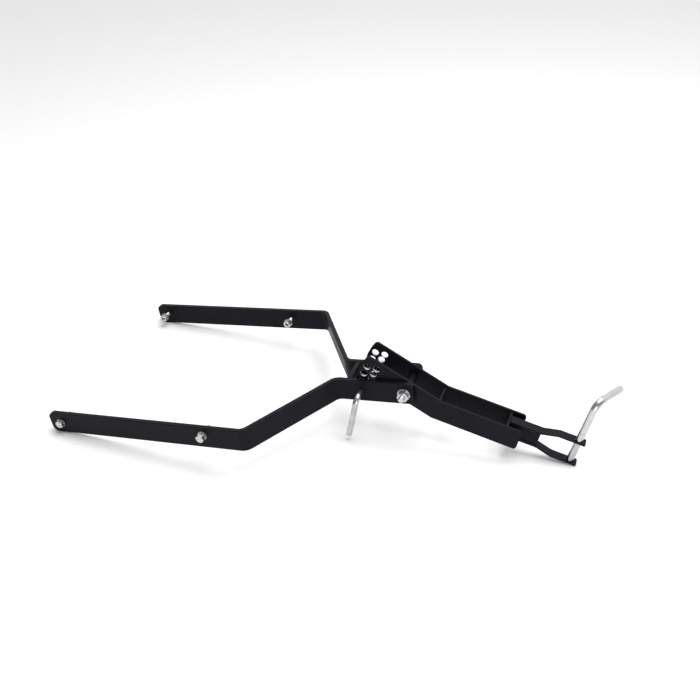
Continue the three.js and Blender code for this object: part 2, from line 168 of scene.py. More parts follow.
class StandPinSizes(bpy.types.PropertyGroup):
    hitch_diameter: length("Hitch pin", "Diameter of the hitch pin", 12.5)
    hitch_bend_up: length("Hitch bend height", "From the pivot's level up to the hitch pin's bend", 93)
    hitch_handle: length("Hitch handle", "Length of the hitch pin's handle", 67.5)
    hitch_bend: length("Hitch bend radius", "Radius of the hitch pin's bend", 16)
    hitch_turn: angle("Hitch turn", "Turn of the handle from the beam's line", 61.8)
    lock_diameter: length("Lock pin", "Diameter of the lock pin", 10)
    lock_outside: length("Lock stand-off", "From the arm's face to the lock pin's bend", 25)
    lock_handle: length("Lock handle", "Length of the lock pin's handle", 80)
    lock_bend: length("Lock bend radius", "Radius of the lock pin's bend", 12)
    lock_lean: angle("Lock lean", "Lean of the handle from the arms' upright", 18.8)
    end_rounding: length("End rounding", "Rounding of the pins' ends", 1.3)


class StandFastenerSizes(bpy.types.PropertyGroup):
    arm_bolt: length("Clamp bolt", "Diameter of a clamp bolt", 8)
    arm_pitch: length("Clamp bolt pitch", "Pitch of a clamp bolt's thread", 1.25)
    arm_flats: length("Clamp bolt flats", "Width across a clamp bolt's flats", 13)
    arm_head: length("Clamp bolt head", "Height of a clamp bolt's head", 5.3)
    arm_washer: length("Clamp washer", "Diameter of a clamp bolt's washer", 16)
    pivot_bolt: length("Pivot bolt", "Diameter of the pivot bolt", 10)
    pivot_pitch: length("Pivot bolt pitch", "Pitch of the pivot bolt's thread", 1.5)
    pivot_flats: length("Pivot bolt flats", "Width across the pivot bolt's flats", 17)
    pivot_head: length("Pivot bolt head", "Height of the pivot bolt's head", 6.4)
    pivot_washer: length("Pivot washer", "Diameter of the pivot washers", 22)
    pivot_thread: length("Pivot thread", "Length of the thread on the pivot bolt", 30)


class StandFinishes(bpy.types.PropertyGroup):
    coat: colour("Powder coat", "Colour of the black powder coat", (0.0034, 0.0032, 0.0052))
    coat_bloom: colour("Powder coat bloom", "Paler cast in the powder coat", (0.0062, 0.0058, 0.0094))
    bare: colour("Bare steel", "Colour of the steel where the coat is rubbed off", (0.52, 0.51, 0.50))
    zinc: colour("Zinc", "Colour of the zinc-plated fasteners", (0.56, 0.57, 0.58))
    zinc_tint: colour("Zinc tint", "Warmer cast in the zinc plating", (0.42, 0.41, 0.37))
    steel: colour("Bright steel", "Colour of the two pins", (0.50, 0.51, 0.52))
    steel_tint: colour("Bright steel tint", "Greyer cast on the two pins", (0.36, 0.37, 0.39))
    floor: colour("Floor", "Colour of the studio floor", (0.90, 0.90, 0.90))


SETTINGS = {
    "stand_arms": StandArmSizes,
    "stand_beam": StandBeamSizes,
    "stand_fork": StandForkSizes,
    "stand_pins": StandPinSizes,
    "stand_fasteners": StandFastenerSizes,
    "stand_finishes": StandFinishes,
}


# ---------- shader maths ----------
class Wire:
    """One value inside a material; arithmetic on it adds Math nodes."""

    def __init__(self, finish, socket):
        self.finish = finish
        self.socket = socket

    def maths(self, operation, first, second):
        node = self.finish.node("ShaderNodeMath", {"operation": operation}, {0: first, 1: second})
        return Wire(self.finish, node.outputs[0])

    def __add__(self, other):
        return self.maths("ADD", self, other)

    def __radd__(self, other):
        return self.maths("ADD", other, self)

    def __sub__(self, other):
        return self.maths("SUBTRACT", self, other)

    def __rsub__(self, other):
        return self.maths("SUBTRACT", other, self)

    def __mul__(self, other):
        return self.maths("MULTIPLY", self, other)


class Shading:
    """The nodes of one material or of the world."""

    def __init__(self, owner):
        self.owner = owner
        owner.use_nodes = True
        self.tree = owner.node_tree
        self.tree.nodes.clear()

    def node(self, kind, settings=None, inputs=None):
        """Adds a node: its settings first, then its sockets' values or links."""
        node = self.tree.nodes.new(kind)
        for name, value in (settings or {}).items():
            if name == "stops":
                for index, (position, shade) in enumerate(value):
                    stops = node.color_ramp.elements
                    stop = stops[index] if index < 2 else stops.new(position)
                    stop.position, stop.color = position, (shade, shade, shade, 1.0)
            else:
                setattr(node, name, value)
        for name, value in (inputs or {}).items():
            socket = node.inputs[name]
            if isinstance(value, Wire):
                value = value.socket
            if isinstance(value, bpy.types.NodeSocket):
                self.tree.links.new(value, socket)
            else:
                socket.default_value = value
        return node


class Finish(Shading):
    """A material round one Principled shader, with the patterns that feed it."""

    def __init__(self, name, **constants):
        super().__init__(bpy.data.materials.new(name))
        self.shader = self.node("ShaderNodeBsdfPrincipled", inputs=constants)
        self.node("ShaderNodeOutputMaterial", inputs={"Surface": self.shader.outputs[0]})
        self.place = self.node("ShaderNodeTexCoord").outputs["Object"]

    def feed(self, **patterns):
        """Links patterns to the shader's sockets, by name with _ for a space."""
        for name, value in patterns.items():
            socket = value.socket if isinstance(value, Wire) else value
            self.tree.links.new(socket, self.shader.inputs[name.replace("_", " ")])

    def noise(self, size, detail=2.0, stretch=(1.0, 1.0, 1.0)):
        """A cloudy pattern from 0 to 1 whose blotches are about `size` metres across."""
        mapping = self.node("ShaderNodeMapping", inputs={"Vector": self.place, "Scale": stretch})
        inputs = {"Vector": mapping.outputs[0], "Scale": 1.0 / size, "Detail": detail}
        return Wire(self, self.node("ShaderNodeTexNoise", inputs=inputs).outputs["Fac"])

    def ramp(self, value, *stops):
        node = self.node("ShaderNodeValToRGB", {"stops": stops}, {"Fac": value})
        return Wire(self, node.outputs["Color"])

    def blend(self, share, first, second):
        """A colour between two others."""
        inputs = {0: share}
        for index, shade in ((6, first), (7, second)):
            inputs[index] = shade if isinstance(shade, bpy.types.NodeSocket) else (*shade, 1.0)
        return self.node("ShaderNodeMix", {"data_type": "RGBA"}, inputs).outputs[2]

    def worn(self):
        """Where a piece's coating is rubbed off: its `worn` attribute, from 0 to 1."""
        return Wire(self, self.node("ShaderNodeAttribute", {"attribute_name": "worn"}).outputs["Fac"])

    def bump(self, height, distance, below=None):
        """Relief as high as `distance`, on top of the relief `below`."""
        inputs = {"Height": height, "Distance": distance, "Strength": 1.0}
        if below is not None:
            inputs["Normal"] = below
        return self.node("ShaderNodeBump", inputs=inputs).outputs[0]


def powder_coat(finishes):
    """Satin black powder coat: fine orange peel, faint cloudiness, and bare steel in the sector's holes."""
    gloss = {"IOR": 1.5, "Specular IOR Level": 0.11, "Specular Tint": (0.9, 0.88, 1.0, 1.0)}
    finish = Finish("black powder coat", **gloss)
    clouds = finish.noise(45 * MM, detail=3.0)
    flecks = finish.noise(1.1 * MM)
    peel = finish.noise(2.4 * MM, detail=1.5)
    bloom = finish.ramp(clouds, (0.35, 0.0), (0.75, 1.0)) * 0.7 + flecks * 0.3
    coat = finish.blend(bloom, finishes.coat, finishes.coat_bloom)
    bare = finish.ramp(finish.worn() + (flecks - 0.5) * 0.5, (0.42, 0.0), (0.55, 1.0))
    waves = finish.bump(peel, 0.07 * MM)
    grain = finish.bump(flecks, 0.015 * MM, below=waves)
    finish.feed(
        Base_Color=finish.blend(bare, coat, finishes.bare),
        Metallic=bare,
        Roughness=(0.34 + clouds * 0.14 + flecks * 0.06) * (1.0 - bare * 0.2),
        Normal=grain,
    )
    return finish.owner


def zinc_plate(finishes):
    """Bright zinc plating over machined steel: patchy tint, fine tool marks."""
    finish = Finish("zinc plate", **{"Metallic": 1.0})
    patches = finish.noise(4 * MM)
    marks = finish.noise(0.5 * MM, detail=3.0)
    tint = finish.ramp(patches, (0.4, 0.0), (0.7, 1.0))
    finish.feed(
        Base_Color=finish.blend(tint, finishes.zinc, finishes.zinc_tint),
        Roughness=0.22 + patches * 0.14 + marks * 0.08,
        Normal=finish.bump(marks, 0.03 * MM),
    )
    return finish.owner


def bright_steel(finishes):
    """Plated round bar: smooth, with faint handling marks and duller patches."""
    finish = Finish("bright steel", **{"Metallic": 1.0})
    dull = finish.noise(16 * MM, detail=3.0)
    scuffs = finish.noise(1.4 * MM, detail=4.0, stretch=(1.0, 1.0, 0.2))
    tint = finish.ramp(dull, (0.45, 0.0), (0.8, 1.0))
    finish.feed(
        Base_Color=finish.blend(tint, finishes.steel, finishes.steel_tint),
        Roughness=0.2 + dull * 0.12 + finish.ramp(scuffs, (0.5, 0.0), (0.75, 1.0)) * 0.12,
        Normal=finish.bump(scuffs, 0.03 * MM),
    )
    return finish.owner


FINISHES = {
    "black_powder_coat": powder_coat,
    "zinc_fasteners": zinc_plate,
    "bright_pins": bright_steel,
}
made_finishes = {}


def material_of(slot):
    """The slot's material, made the first time that it is asked for."""
    if slot not in made_finishes:
        made_finishes[slot] = FINISHES[slot](bpy.context.scene.stand_finishes)
    return made_finishes[slot]


# ---------- modelling by hand, in words ----------
def deselect():
    if bpy.context.mode != "OBJECT":
        bpy.ops.object.mode_set(mode="OBJECT")
    bpy.ops.object.select_all(action="DESELECT")


def pick(*pieces):
    """Selects these objects and nothing else; the last one is the active one."""
    deselect()
    for piece in pieces:
        piece.select_set(True)
        bpy.context.view_layer.objects.active = piece


def add(name, primitive, **settings):
    """Adds a primitive with nothing else selected, and names it."""
    deselect()
    primitive(**settings)
    piece = bpy.context.object
    piece.name = piece.data.name = name
    return piece


def apply_place(piece):
    pick(piece)
    bpy.ops.object.transform_apply(location=True, rotation=True, scale=True)


class Editing:
    """Edit mode on one piece, left again at the end."""

    def __init__(self, piece):
        self.piece = piece

    def __enter__(self):
        pick(self.piece)
        bpy.ops.object.mode_set(mode="EDIT")
        return self

    def __exit__(self, *problem):
        bpy.ops.object.mode_set(mode="OBJECT")

    def choose(self, kind, test):
        """Selects the verts, edges or faces that pass the test, and nothing else."""
        bpy.ops.mesh.select_mode(type={"verts": "VERT", "edges": "EDGE", "faces": "FACE"}[kind])
        bpy.ops.mesh.select_all(action="DESELECT")
        mesh = bmesh.from_edit_mesh(self.piece.data)
        for item in getattr(mesh, kind):
            item.select_set(test(item))
        mesh.select_flush_mode()
        bmesh.update_edit_mesh(self.piece.data)

    def everything(self):
        bpy.ops.mesh.select_all(action="SELECT")

    def face_outwards(self):
        self.everything()
        bpy.ops.mesh.remove_doubles(threshold=1e-6)
        bpy.ops.mesh.normals_make_consistent(inside=False)


def extrude(shift):
    bpy.ops.mesh.extrude_region_move(TRANSFORM_OT_translate={"value": tuple(shift)})


def run_along(place, heading, side, runs):
    """Carries the selected end along straight runs, each followed by a bend of (angle, radius) or None."""
    for distance, bend in runs:
        extrude(heading * distance)
        place = place + heading * distance
        if bend is None:
            continue
        turn, radius = bend
        axis = heading.cross(side)
        centre = place + side * math.copysign(radius, turn)
        bpy.ops.mesh.spin(steps=BEND_STEPS, angle=-turn, center=centre, axis=axis)  # spins clockwise
        turned = Matrix.Rotation(turn, 3, axis)
        place = centre + turned @ (place - centre)
        heading, side = turned @ heading, turned @ side


def joggle(first, rise, step, last, radius):
    """Runs that go straight, move sideways by `rise` over a length of `step`, and go straight again."""
    turn = math.atan2(rise, step)
    used = radius * math.tan(turn / 2)
    return [
        (first - used, (turn, radius)),
        (math.hypot(rise, step) - 2 * used, (-turn, radius)),
        (last - used, None),
    ]


def flat_section(name, place, height, thickness):
    """A flat bar's end face, square to X: its height along Z and its thickness along Y."""
    upright = (0, math.pi / 2, 0)
    section = add(name, bpy.ops.mesh.primitive_plane_add, size=1, location=place, rotation=upright)
    section.scale = (height, thickness, 1)
    apply_place(section)
    return section


def cylinder(name, radius, start, end, sides=HOLE_SIDES):
    axis = end - start
    turn = axis.to_track_quat("Z", "Y").to_euler()
    rod = add(
        name, bpy.ops.mesh.primitive_cylinder_add, vertices=sides, radius=radius, depth=axis.length,
        location=(start + end) / 2, rotation=turn,
    )
    apply_place(rod)
    return rod


def block(name, low, high):
    """A block between two corners."""
    solid = add(name, bpy.ops.mesh.primitive_cube_add, size=1, location=(low + high) / 2)
    solid.scale = high - low
    apply_place(solid)
    return solid


def join(name, *pieces):
    pick(*pieces)
    if len(pieces) > 1:
        bpy.ops.object.join()
    joined = bpy.context.object
    joined.name = joined.data.name = name
    return joined


def combine(piece, tool, operation="DIFFERENCE"):
    """Cuts the tool from the piece, or joins or crosses the two, and throws the tool away."""
    pick(piece)
    modifier = piece.modifiers.new("combine", "BOOLEAN")
    modifier.operation, modifier.solver, modifier.object = operation, "EXACT", tool
    bpy.ops.object.modifier_apply(modifier=modifier.name)
    pick(tool)
    bpy.ops.object.delete()


def drill(piece, holes, axis, depth):
    """Drills (centre, diameter) holes, each as deep as `depth` either way from its centre."""
    bits = []
    for centre, diameter in holes:
        bits.append(cylinder("drill", diameter / 2, centre - axis * depth, centre + axis * depth))
    combine(piece, join("drill", *bits))


def soften(piece, width, segments=3, limit=30):
    """Rounds every edge sharper than the limit, and keeps the flats flat."""
    pick(piece)
    bpy.ops.object.shade_smooth()
    modifier = piece.modifiers.new("soften", "BEVEL")
    modifier.width, modifier.segments = width, segments
    modifier.limit_method, modifier.angle_limit = "ANGLE", math.radians(limit)
    modifier.harden_normals = True
    bpy.ops.object.modifier_apply(modifier=modifier.name)


def end_edges(end, across):
    """A test for edges at x = end whose two points share coordinate `across`: 1 for Y, 2 for Z."""

    def is_end_edge(edge):
        first, second = (vertex.co for vertex in edge.verts)
        at_end = max(abs(first.x - end), abs(second.x - end)) < CLOSE
        return at_end and abs(first[across] - second[across]) < CLOSE

    return is_end_edge


def copy_of(piece, name):
    pick(piece)
    bpy.ops.object.duplicate(linked=False)
    twin = bpy.context.object
    twin.name = twin.data.name = name
    return twin


def set_down(piece, place, turn):
    """Turns a piece about the origin, moves it to its place and leaves the place in its mesh."""
    piece.matrix_world = Matrix.Translation(place) @ turn.to_4x4()
    apply_place(piece)


def tilted(tilt):
    return Matrix.Rotation(tilt, 3, "Y")


def hand_over(piece, slot, body, *nodes):
    """Gives a piece its finish, its body and the CAD nodes that it stands for."""
    piece.data.materials.clear()
    piece.data.materials.append(material_of(slot))
    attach(piece, body)
    if nodes:
        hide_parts(*nodes)


def place_coated(piece, body, *nodes):
    """Sets a coated piece down in its body's tilted directions, and hands it over."""
    set_down(piece, PIVOT, tilted(TILTS[body]))
    hand_over(piece, "black_powder_coat", body, *nodes)


def node_axis(node):
    """The middle of a CAD node's box, and its lowest and highest Y."""
    low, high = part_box(node)
    return (low + high) / 2, low.y, high.y


# ---------- the arms ----------
class StandArms(bpy.types.Operator):
    """Two cranked flat-bar arms with rounded ends and drilled holes"""

    bl_idname = "stand.arms"
    bl_label = "Cranked Arms"

    def execute(self, context):
        for side in (RIGHT, LEFT):
            self.make_arm(context.scene.stand_arms, side, context.scene.stand_beam.outer_row)
        return {"FINISHED"}

    def make_arm(self, sizes, side, lock_place):
        start = Vector((-sizes.free_end, side * sizes.outer_reach, 0))
        arm = flat_section(f"cranked_arm_{SIDE_NAMES[side]}", start, sizes.bar_height, sizes.bar_thickness)
        rise, step = sizes.outer_reach - sizes.inner_reach, sizes.outer_bend - sizes.inner_bend
        first, last = sizes.free_end - sizes.outer_bend, sizes.inner_bend + sizes.pivot_end
        with Editing(arm) as edit:
            edit.everything()
            run_along(start, X, Y * -side, joggle(first, rise, step, last, sizes.bend_radius))
            edit.face_outwards()
            ends = [(-sizes.free_end, sizes.free_rounding), (sizes.pivot_end, sizes.pivot_rounding)]
            for end, rounding in ends:
                edit.choose("edges", end_edges(end, across=2))
                bpy.ops.mesh.bevel(offset=rounding, segments=10, affect="EDGES", clamp_overlap=False)
        near_pivot = Y * side * sizes.inner_reach
        holes = [
            (near_pivot, sizes.pivot_hole),
            (near_pivot - X * lock_place, sizes.lock_hole),
        ]
        for place in CLAMPS:
            if place.startswith(SIDE_NAMES[side]):
                middle, _, _ = node_axis(f"{place}_bolt")
                centre = tilted(ARM_TILT).transposed() @ (middle - PIVOT)
                holes.append((Vector((centre.x, side * sizes.outer_reach, centre.z)), sizes.bolt_hole))
        drill(arm, holes, Y, 3 * sizes.bar_thickness)
        soften(arm, sizes.edge)
        place_coated(arm, "frame", f"{SIDE_NAMES[side]}_arm")


class StandCrossMember(bpy.types.Operator):
    """Cross-member plate welded between the arms in front of the sector"""

    bl_idname = "stand.cross_member"
    bl_label = "Cross-member"

    def execute(self, context):
        sizes = context.scene.stand_arms
        half_width = sizes.inner_reach - sizes.bar_thickness / 2
        half = Vector((sizes.yoke_thickness / 2, half_width, sizes.bar_height / 2))
        middle = X * -sizes.yoke_place
        plate = block("cross_member_plate", middle - half, middle + half)
        soften(plate, sizes.edge)
        place_coated(plate, "frame", "yoke_plate")
        return {"FINISHED"}


# ---------- the hinged beam ----------
def round_corner(points, corner, radius, steps=8):
    """Adds the arc that rounds a right-angled corner; `corner` is (point, direction in, direction out)."""
    point, into, out = corner
    centre = point - into * radius + out * radius
    for step in range(steps + 1):
        share = step / steps * math.pi / 2
        points.append(centre - out * radius * math.cos(share) + into * radius * math.sin(share))


def side_plate_outline(sizes):
    """Points round a side plate in the beam's own frame, from the sector's foot anticlockwise."""
    bend = HEAD_SLOPE - TAIL_SLOPE
    head_to_tail = Matrix.Rotation(bend, 3, "Y")

    def on_head_edge(edge, up):
        return Vector(((edge - up * math.cos(bend)) / math.sin(bend), 0, up))

    def on_sector(above_head_line):
        return head_to_tail @ Vector((-math.cos(above_head_line), 0, math.sin(above_head_line)))

    foot = -(sizes.sector_foot + HEAD_SLOPE)
    corner_radius = sizes.sector_radius - sizes.sector_corner
    corner_top = sizes.head_top - sizes.sector_corner
    shoulder = math.asin(corner_top / corner_radius)
    points = [on_sector(foot) * sizes.sector_radius]
    points.append(on_head_edge(-sizes.head_bottom, -sizes.head_bottom / math.cos(bend)))
    points.append(on_head_edge(-sizes.head_bottom, -sizes.tail_bottom))
    round_corner(points, (Vector((sizes.tail_end, 0, -sizes.tail_bottom)), X, Z), sizes.tail_corner)
    round_corner(points, (Vector((sizes.tail_end, 0, sizes.tail_top)), Z, -X), sizes.tail_corner)
    points.append(on_head_edge(sizes.head_top, sizes.tail_top))
    corner_centre = on_sector(shoulder) * corner_radius
    steps = 10
    for step in range(steps + 1):
        direction = math.pi / 2 + (shoulder - math.pi / 2) * step / steps
        points.append(corner_centre + on_sector(direction) * sizes.sector_corner)
    steps = 44
    for step in range(1, steps):
        points.append(on_sector(shoulder + (foot - shoulder) * step / steps) * sizes.sector_radius)
    return points


def plate_from(name, points, front, thickness):
    """Draws an outline point by point in the plane y = front, fills it and thickens it along Y."""
    plate = add(name, bpy.ops.mesh.primitive_plane_add, size=SEED, rotation=(math.pi / 2, 0, 0))
    apply_place(plate)
    with Editing(plate) as edit:
        edit.everything()
        bpy.ops.mesh.merge(type="CENTER")
        bpy.ops.mesh.select_mode(type="VERT")
        edit.everything()
        bpy.ops.transform.translate(value=tuple(points[0] + Y * front))
        for before, after in zip(points, points[1:]):
            extrude(after - before)
        edit.everything()
        bpy.ops.mesh.edge_face_add()
        extrude(Y * thickness)
        edit.face_outwards()
    return plate


class StandSidePlates(bpy.types.Operator):
    """Two side plates with the hole sector, the cranked head and the tail"""

    bl_idname = "stand.side_plates"
    bl_label = "Side Plates"

    def execute(self, context):
        sizes = context.scene.stand_beam
        front = -sizes.width / 2
        plate = plate_from("sector_plate_right", side_plate_outline(sizes), front, sizes.plate)
        holes = [(Vector((0, front + sizes.plate / 2, 0)), context.scene.stand_arms.pivot_hole)]
        for radius, first in ((sizes.outer_row, 0.0), (sizes.inner_row, 0.5)):
            for index in range(4):
                above_tail = (first + index) * sizes.hole_step - TAIL_SLOPE
                centre = Vector((-math.cos(above_tail), 0, math.sin(above_tail))) * radius
                holes.append((centre + Y * (front + sizes.plate / 2), sizes.sector_hole))
        drill(plate, holes, Y, 2 * sizes.plate)
        soften(plate, sizes.edge)
        wear_holes(plate, holes[1:], sizes.edge)
        twin = copy_of(plate, "sector_plate_left")
        set_down(twin, PIVOT + Y * (sizes.width - sizes.plate), tilted(BEAM_TILT))
        place_coated(plate, "beam", "right_side_plate")
        hand_over(twin, "black_powder_coat", "beam", "left_side_plate")
        return {"FINISHED"}


BULKHEADS = {"front_bulkhead": 56 * MM, "rear_bulkhead": 172.5 * MM}
BULKHEAD_DROP = 2 * MM  # their edges lie this far inside the side plates' edges


class StandBulkheads(bpy.types.Operator):
    """Two cross plates between the side plates"""

    bl_idname = "stand.bulkheads"
    bl_label = "Bulkheads"

    def execute(self, context):
        sizes = context.scene.stand_beam
        half_width = sizes.width / 2 - sizes.plate
        for node, start in BULKHEADS.items():
            low = Vector((start, -half_width, -sizes.tail_bottom + BULKHEAD_DROP))
            high = Vector((start + sizes.plate, half_width, sizes.tail_top - BULKHEAD_DROP))
            plate = block(f"{node}_plate", low, high)
            soften(plate, sizes.edge)
            place_coated(plate, "beam", node)
        return {"FINISHED"}


def lies_level(face):
    """Whether a face lies in the plane z = 0."""
    return abs(face.calc_center_median().z) < 1e-7 and abs(face.normal.z) > 0.99


def tube(name, outer, inner, half_length, edge):
    """A short tube or washer about Y, with its edges rounded."""
    section = add(name, bpy.ops.mesh.primitive_plane_add, size=1, location=((outer + inner) / 2, 0, 0))
    section.scale = (outer - inner, 2 * half_length, 1)
    apply_place(section)
    with Editing(section) as edit:
        edit.everything()
        bpy.ops.mesh.spin(steps=HOLE_SIDES, angle=2 * math.pi, center=(0, 0, 0), axis=(0, 1, 0))
        edit.choose("faces", lies_level)
        bpy.ops.mesh.delete(type="ONLY_FACE")
        edit.face_outwards()
    soften(section, edge)
    return section


class StandSleeve(bpy.types.Operator):
    """Spacer tube on the pivot bolt, between the side plates"""

    bl_idname = "stand.sleeve"
    bl_label = "Pivot Sleeve"

    def execute(self, context):
        sizes = context.scene.stand_beam
        bore = context.scene.stand_arms.pivot_hole / 2
        sleeve = tube("pivot_spacer_tube", sizes.sleeve / 2, bore, sizes.width / 2 - sizes.plate, sizes.edge)
        place_coated(sleeve, "beam", "pivot_sleeve")
        return {"FINISHED"}


class StandFork(bpy.types.Operator):
    """Two joggled straps and the filler bar between their roots"""

    bl_idname = "stand.fork"
    bl_label = "Hitch Fork"

    def execute(self, context):
        sizes = context.scene.stand_fork
        for place, way in (("upper", 1), ("lower", -1)):
            self.make_strap(sizes, f"fork_strap_{place}", f"{place}_fork_strap", way)
        half_height = sizes.root_half - sizes.strap_thickness / 2
        low = Vector((sizes.root, -sizes.block_width / 2, -sizes.axis_drop - half_height))
        high = Vector((sizes.block_end, sizes.block_width / 2, -sizes.axis_drop + half_height))
        filler = block("fork_filler_bar", low, high)
        soften(filler, FILLER_EDGE)
        place_coated(filler, "beam", "fork_block")
        return {"FINISHED"}

    def make_strap(self, sizes, name, node, way):
        start = Vector((sizes.root, 0, -sizes.axis_drop + way * sizes.root_half))
        strap = flat_section(name, start, sizes.strap_thickness, sizes.strap_width)
        rise, step = sizes.tip_half - sizes.root_half, sizes.flare_end - sizes.flare_start
        first, last = sizes.flare_start - sizes.root, sizes.tip - sizes.flare_end
        with Editing(strap) as edit:
            edit.everything()
            run_along(start, X, Z * way, joggle(first, rise, step, last, sizes.bend_radius))
            edit.face_outwards()
            edit.choose("edges", end_edges(sizes.tip, across=1))
            bpy.ops.mesh.bevel(offset=STRAP_CORNER, segments=4, affect="EDGES", clamp_overlap=False)
        hole = Vector((sizes.pin_place, 0, -sizes.axis_drop + way * sizes.tip_half))
        drill(strap, [(hole, sizes.pin_hole)], Z, 2 * sizes.strap_thickness)
        soften(strap, STRAP_EDGE)
        place_coated(strap, "beam", node)


# ---------- bolts, nuts and washers, made about Z with the seat at the origin ----------
def taper(edit, level, fall, shrink):
    """Draws the flat end at z = level out by `fall`, to a smaller disc."""
    edit.choose("faces", lambda face: abs(face.calc_center_median().z - level) < 1e-6)
    extrude(Z * fall)
    bpy.ops.transform.resize(value=(shrink, shrink, 1), center_override=(0, 0, level + fall))


def crowned_hexagon(name, flats, height, both_ends):
    """A hexagon prism from z = 0 up, its corners turned down at 30 degrees like a bolt head's or a nut's."""
    corner = flats / 2 / math.cos(math.pi / 6)
    crown = CROWN * flats
    fall = (corner - crown) * math.tan(math.pi / 6)
    prism = cylinder(name, corner, Vector((0, 0, 0)), Z * height, sides=6)
    foot = fall if both_ends else 0.0
    blank = cylinder("crown", corner * 1.001, Z * foot, Z * (height - fall), sides=HOLE_SIDES)
    with Editing(blank) as edit:
        taper(edit, height - fall, fall, crown / corner)
        if both_ends:
            taper(edit, foot, -fall, crown / corner)
    combine(prism, blank, "INTERSECT")
    return prism


def thread(name, radius, pitch, top, bottom):
    """A threaded rod from z = bottom up to z = top, its free end, at the bottom, chamfered."""
    depth = THREAD_DEPTH * pitch
    turns = math.ceil((top - bottom) / pitch) + 3
    rod = add(name, bpy.ops.mesh.primitive_plane_add, size=SEED)
    with Editing(rod) as edit:
        edit.everything()
        bpy.ops.mesh.merge(type="CENTER")
        bpy.ops.mesh.select_mode(type="VERT")
        edit.everything()
        bpy.ops.transform.translate(value=(radius - depth, 0, bottom - 1.5 * pitch))
        for across in (depth, -depth):
            extrude((0, 0, THREAD_FLAT * pitch))
            extrude((across, 0, THREAD_FLANK * pitch))
    apply_place(rod)
    modifier = rod.modifiers.new("turns", "SCREW")
    modifier.axis, modifier.angle, modifier.screw_offset = "Z", 2 * math.pi, pitch
    modifier.iterations, modifier.steps, modifier.render_steps = turns, THREAD_STEPS, THREAD_STEPS
    modifier.use_merge_vertices, modifier.merge_threshold = True, 1e-6
    bpy.ops.object.modifier_apply(modifier=modifier.name)
    with Editing(rod) as edit:
        for level, upwards in ((top, True), (bottom, False)):
            edit.everything()
            bpy.ops.mesh.bisect(
                plane_co=(0, 0, level), plane_no=(0, 0, 1), use_fill=True,
                clear_outer=upwards, clear_inner=not upwards,
            )
        edit.face_outwards()
    envelope = cylinder("envelope", radius * 1.02, Z * (bottom + depth), Z * (top + pitch))
    with Editing(envelope) as edit:
        taper(edit, bottom + depth, -depth, (radius - depth) / radius)
    combine(rod, envelope, "INTERSECT")
    return rod


def hexagon_bolt(name, radius, pitch, flats, head, shank, threaded):
    """A bolt whose head stands on z = 0 and whose shank runs down from it."""
    bolt = crowned_hexagon(name, flats, head, both_ends=False)
    soften(bolt, 0.15 * MM, segments=2, limit=24)
    collar = cylinder("collar", CROWN * flats, Z * -COLLAR, Z * OVERLAP)
    neck = cylinder("neck", radius, Z * (threaded - shank - OVERLAP), Z * head / 2, sides=ROD_SIDES)
    screw = thread("screw", radius, pitch, threaded - shank, -shank)
    for part in (collar, neck, screw):
        combine(bolt, part, "UNION")
    return bolt


def wear_holes(plate, holes, reach):
    """Marks the walls and rims of (centre, diameter) holes along Y as worn; fades out over `reach`."""
    worn = plate.data.attributes.new("worn", "FLOAT", "POINT")
    for vertex, value in zip(plate.data.vertices, worn.data):
        for centre, diameter in holes:
            offset = vertex.co - centre
            beyond = math.hypot(offset.x, offset.z) - diameter / 2
            value.value = max(value.value, min(1.0, 1.0 - beyond / reach))


def shade_by_angle(piece, limit=32):
    pick(piece)
    bpy.ops.object.shade_smooth_by_angle(angle=math.radians(limit))


def along_y(sign):
    """The turn that lays +Z along +Y or -Y."""
    return Matrix.Rotation(math.radians(-90 * sign), 3, "X")


class StandBolts(bpy.types.Operator):
    """Four clamp bolts and the pivot bolt, with threads and crowned heads"""

    bl_idname = "stand.bolts"
    bl_label = "Bolts"

    def execute(self, context):
        sizes = context.scene.stand_fasteners
        _, low, high = node_axis("right_end_bolt")
        shank = high - low - sizes.arm_head
        first = hexagon_bolt(
            "clamp_bolt", sizes.arm_bolt / 2, sizes.arm_pitch, sizes.arm_flats, sizes.arm_head,
            shank, shank - 2 * sizes.arm_pitch,
        )
        shade_by_angle(first)
        for place, spin in zip(CLAMPS, CLAMP_HEAD_TURNS):
            side = RIGHT if place.startswith("right") else LEFT
            middle, low, high = node_axis(f"{place}_bolt")
            seat = low + sizes.arm_head if side == RIGHT else high - sizes.arm_head
            bolt = copy_of(first, f"{place}_clamp_bolt")
            turn = along_y(side) @ Matrix.Rotation(math.radians(spin), 3, "Z")
            set_down(bolt, Vector((middle.x, seat, middle.z)), turn)
            hand_over(bolt, "zinc_fasteners", "frame", f"{place}_bolt")
        pick(first)
        bpy.ops.object.delete()
        middle, low, high = node_axis("pivot_bolt")
        shank = high - low - sizes.pivot_head
        pivot = hexagon_bolt(
            "pivot_hinge_bolt", sizes.pivot_bolt / 2, sizes.pivot_pitch, sizes.pivot_flats, sizes.pivot_head,
            shank, sizes.pivot_thread,
        )
        shade_by_angle(pivot)
        set_down(pivot, Vector((middle.x, high - sizes.pivot_head, middle.z)), along_y(LEFT))
        hand_over(pivot, "zinc_fasteners", "frame", "pivot_bolt")
        return {"FINISHED"}


